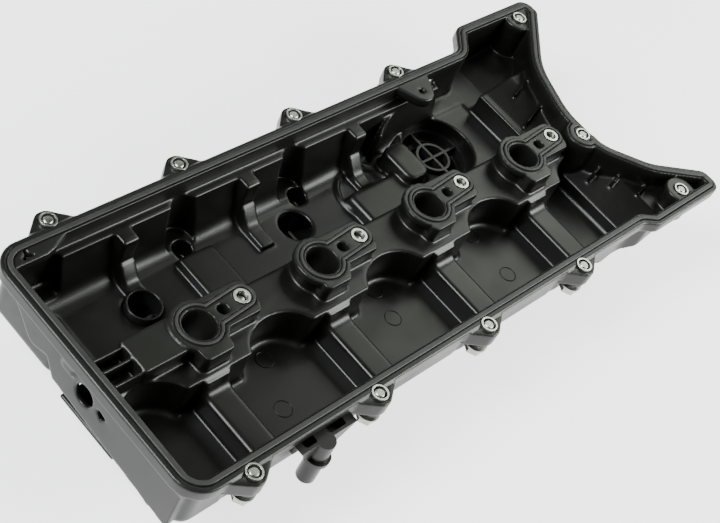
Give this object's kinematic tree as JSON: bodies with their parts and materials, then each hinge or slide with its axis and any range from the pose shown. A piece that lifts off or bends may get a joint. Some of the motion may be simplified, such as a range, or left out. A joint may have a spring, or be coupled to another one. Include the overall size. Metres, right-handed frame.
{
  "type": "camshaft cover",
  "caption": "Moulded cover for a bank of four cylinders, open side up, with plug wells, rim seal, captive bolts, oil separator and filler cap.",
  "frame": {"origin": "middle of the spark plug row, on the plastic sealing face", "axes": "+X along the plug row towards the timing chain end; +Y across towards the oil separator side; +Z out of the open side, towards the cylinder head"},
  "size_m": [0.497, 0.213, 0.071],
  "materials": {
    "cover_plastic": "moulded glass-filled nylon, satin",
    "fitting_plastic": "moulded nylon, satin",
    "cap_plastic": "moulded nylon, smooth",
    "seal_rubber": "moulded acrylic rubber, matt",
    "inner_rubber": "moulded rubber, matt",
    "isolator_rubber": "moulded rubber, matt",
    "sleeve_steel": "zinc plated steel, turned",
    "bolt_steel": "zinc plated steel",
    "spring_steel": "drawn spring wire",
    "insert_brass": "knurled brass"
  },
  "bodies": {
    "cover": {"breather_pipe": "fitting_plastic", "breather_seal": "inner_rubber", "coil_inserts": "insert_brass", "cover_shell": "cover_plastic", "drain_tube": "fitting_plastic", "filler_screen": "fitting_plastic", "regulator_cap": "fitting_plastic", "regulator_diaphragm": "inner_rubber", "regulator_spring": "spring_steel", "rim_gasket": "seal_rubber", "rim_isolators": "isolator_rubber", "rim_sleeves": "sleeve_steel", "separator_baffle": "fitting_plastic", "separator_lid": "fitting_plastic", "well_gasket_1": "seal_rubber", "well_gasket_2": "seal_rubber", "well_gasket_3": "seal_rubber", "well_gasket_4": "seal_rubber", "well_isolators": "isolator_rubber", "well_sleeves": "sleeve_steel"},
    "end_bolt_1": {"end_bolt_1": "bolt_steel"},
    "end_bolt_2": {"end_bolt_2": "bolt_steel"},
    "end_bolt_3": {"end_bolt_3": "bolt_steel"},
    "high_bolt_1": {"high_bolt_1": "bolt_steel"},
    "high_bolt_2": {"high_bolt_2": "bolt_steel"},
    "high_bolt_3": {"high_bolt_3": "bolt_steel"},
    "high_bolt_4": {"high_bolt_4": "bolt_steel"},
    "low_bolt_1": {"low_bolt_1": "bolt_steel"},
    "low_bolt_2": {"low_bolt_2": "bolt_steel"},
    "low_bolt_3": {"low_bolt_3": "bolt_steel"},
    "low_bolt_4": {"low_bolt_4": "bolt_steel"},
    "well_bolt_1": {"well_bolt_1": "bolt_steel"},
    "well_bolt_2": {"well_bolt_2": "bolt_steel"},
    "well_bolt_3": {"well_bolt_3": "bolt_steel"},
    "well_bolt_4": {"well_bolt_4": "bolt_steel"},
    "filler_cap": {"filler_cap": "cap_plastic", "filler_seal": "inner_rubber"},
    "regulator_valve": {"regulator_valve": "fitting_plastic"}
  },
  "joints": [
    {"name": "end_bolt_1_float", "type": "slide", "parent": "cover", "child": "end_bolt_1", "axis": [0, 0, 1], "range_m": [0, 0.003]},
    {"name": "end_bolt_2_float", "type": "slide", "parent": "cover", "child": "end_bolt_2", "axis": [0, 0, 1], "range_m": [0, 0.003]},
    {"name": "end_bolt_3_float", "type": "slide", "parent": "cover", "child": "end_bolt_3", "axis": [0, 0, 1], "range_m": [0, 0.003]},
    {"name": "high_bolt_1_float", "type": "slide", "parent": "cover", "child": "high_bolt_1", "axis": [0, 0, 1], "range_m": [0, 0.003]},
    {"name": "high_bolt_2_float", "type": "slide", "parent": "cover", "child": "high_bolt_2", "axis": [0, 0, 1], "range_m": [0, 0.003]},
    {"name": "high_bolt_3_float", "type": "slide", "parent": "cover", "child": "high_bolt_3", "axis": [0, 0, 1], "range_m": [0, 0.003]},
    {"name": "high_bolt_4_float", "type": "slide", "parent": "cover", "child": "high_bolt_4", "axis": [0, 0, 1], "range_m": [0, 0.003]},
    {"name": "low_bolt_1_float", "type": "slide", "parent": "cover", "child": "low_bolt_1", "axis": [0, 0, 1], "range_m": [0, 0.003]},
    {"name": "low_bolt_2_float", "type": "slide", "parent": "cover", "child": "low_bolt_2", "axis": [0, 0, 1], "range_m": [0, 0.003]},
    {"name": "low_bolt_3_float", "type": "slide", "parent": "cover", "child": "low_bolt_3", "axis": [0, 0, 1], "range_m": [0, 0.003]},
    {"name": "low_bolt_4_float", "type": "slide", "parent": "cover", "child": "low_bolt_4", "axis": [0, 0, 1], "range_m": [0, 0.003]},
    {"name": "well_bolt_1_float", "type": "slide", "parent": "cover", "child": "well_bolt_1", "axis": [0, 0, 1], "range_m": [0, 0.003]},
    {"name": "well_bolt_2_float", "type": "slide", "parent": "cover", "child": "well_bolt_2", "axis": [0, 0, 1], "range_m": [0, 0.003]},
    {"name": "well_bolt_3_float", "type": "slide", "parent": "cover", "child": "well_bolt_3", "axis": [0, 0, 1], "range_m": [0, 0.003]},
    {"name": "well_bolt_4_float", "type": "slide", "parent": "cover", "child": "well_bolt_4", "axis": [0, 0, 1], "range_m": [0, 0.003]},
    {"name": "filler_cap_twist", "type": "hinge", "parent": "cover", "child": "filler_cap", "pos_m": [0.133, 0.051, -0.0655], "axis": [0, 0, -1], "range_deg": [0, 90]},
    {"name": "regulator_valve_stroke", "type": "slide", "parent": "cover", "child": "regulator_valve", "axis": [0, 0, 1], "range_m": [0, 0.0025], "stiffness_N_per_m": 300, "deforming": ["regulator_spring"]}
  ]
}
